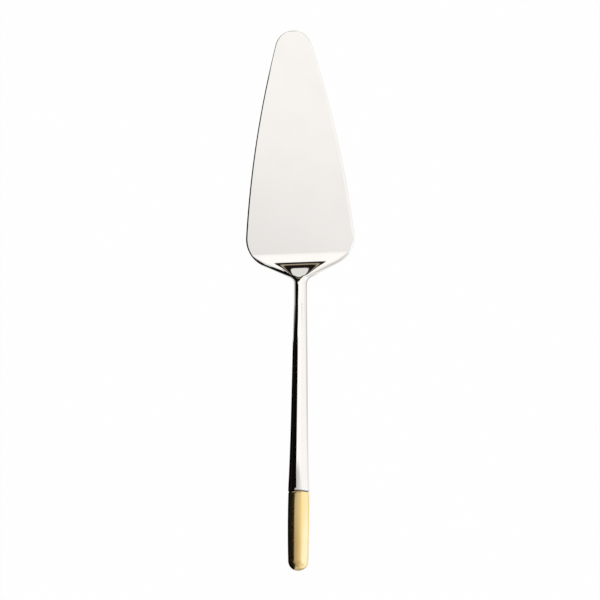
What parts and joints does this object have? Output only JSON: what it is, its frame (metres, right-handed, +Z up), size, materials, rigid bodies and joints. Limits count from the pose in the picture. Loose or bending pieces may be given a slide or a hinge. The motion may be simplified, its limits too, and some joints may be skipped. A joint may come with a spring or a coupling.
{
  "type": "cake server",
  "caption": "Flat tapering polished blade, cranked up through a scooped ramp into a slim round hollow handle with a gold-coloured end, for lifting and serving slices of cake.",
  "frame": {"origin": "middle of the whole length and width, on the plane of the blade's flat underside", "axes": "+Y along the blade towards its tip, +Z up out of the blade's upper face, +X to the right with the tip pointing away"},
  "size_m": [0.0554, 0.267, 0.0337],
  "materials": {
    "polished_steel": "stainless steel, mirror polished",
    "satin_gold": "gold-coloured metal, satin",
    "plain_steel": "turned",
    "cement": "hard mineral cement, matt"
  },
  "bodies": {
    "root": {"blade": "polished_steel", "handle_upper_shell": "polished_steel", "handle_lower_shell": "polished_steel", "tang_cement": "cement", "joint_bush": "plain_steel", "end_cap": "satin_gold"}
  },
  "joints": []
}
